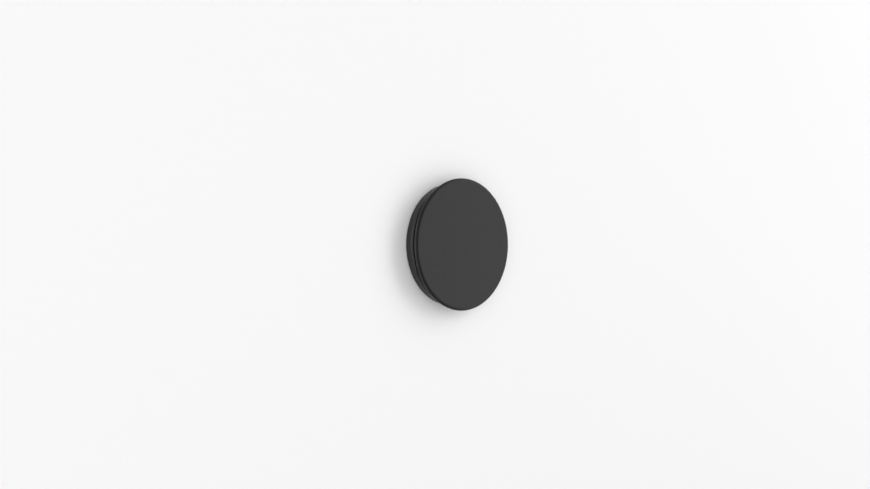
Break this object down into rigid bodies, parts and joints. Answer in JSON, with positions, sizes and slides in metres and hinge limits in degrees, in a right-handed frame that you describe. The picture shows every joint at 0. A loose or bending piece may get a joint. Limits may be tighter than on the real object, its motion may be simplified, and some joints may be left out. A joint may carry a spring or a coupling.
{
  "type": "collapsible phone grip",
  "caption": "Round stick-on phone grip: a flat cap on a soft accordion that nests inside the base when collapsed and pulls out to hold between the fingers.",
  "frame": {"origin": "middle of the adhesive face, at the bottom of the collapsed grip", "axes": "+Z along the grip's axis, out of the phone's back through the cap; the cap's lock lugs lie along X"},
  "size_m": [0.0398, 0.0398, 0.0064],
  "materials": {
    "hard_plastic": "fine satin grain, black",
    "soft_elastomer": "smooth matte, black",
    "gel": "tacky gel, dark grey"
  },
  "bodies": {
    "base": {"base_plate": "hard_plastic", "adhesive_pad": "gel", "accordion": "soft_elastomer"},
    "hub": {"lock_hub": "hard_plastic"},
    "cap": {"top_cap": "hard_plastic"}
  },
  "joints": [
    {"name": "extension", "type": "slide", "parent": "base", "child": "hub", "axis": [0, 0, 1], "range_m": [0, 0.01552], "deforming": ["accordion"]},
    {"name": "twist_lock", "type": "hinge", "parent": "hub", "child": "cap", "pos_m": [0, 0, 0.005], "axis": [0, 0, 1], "range_deg": [0, 90]}
  ]
}
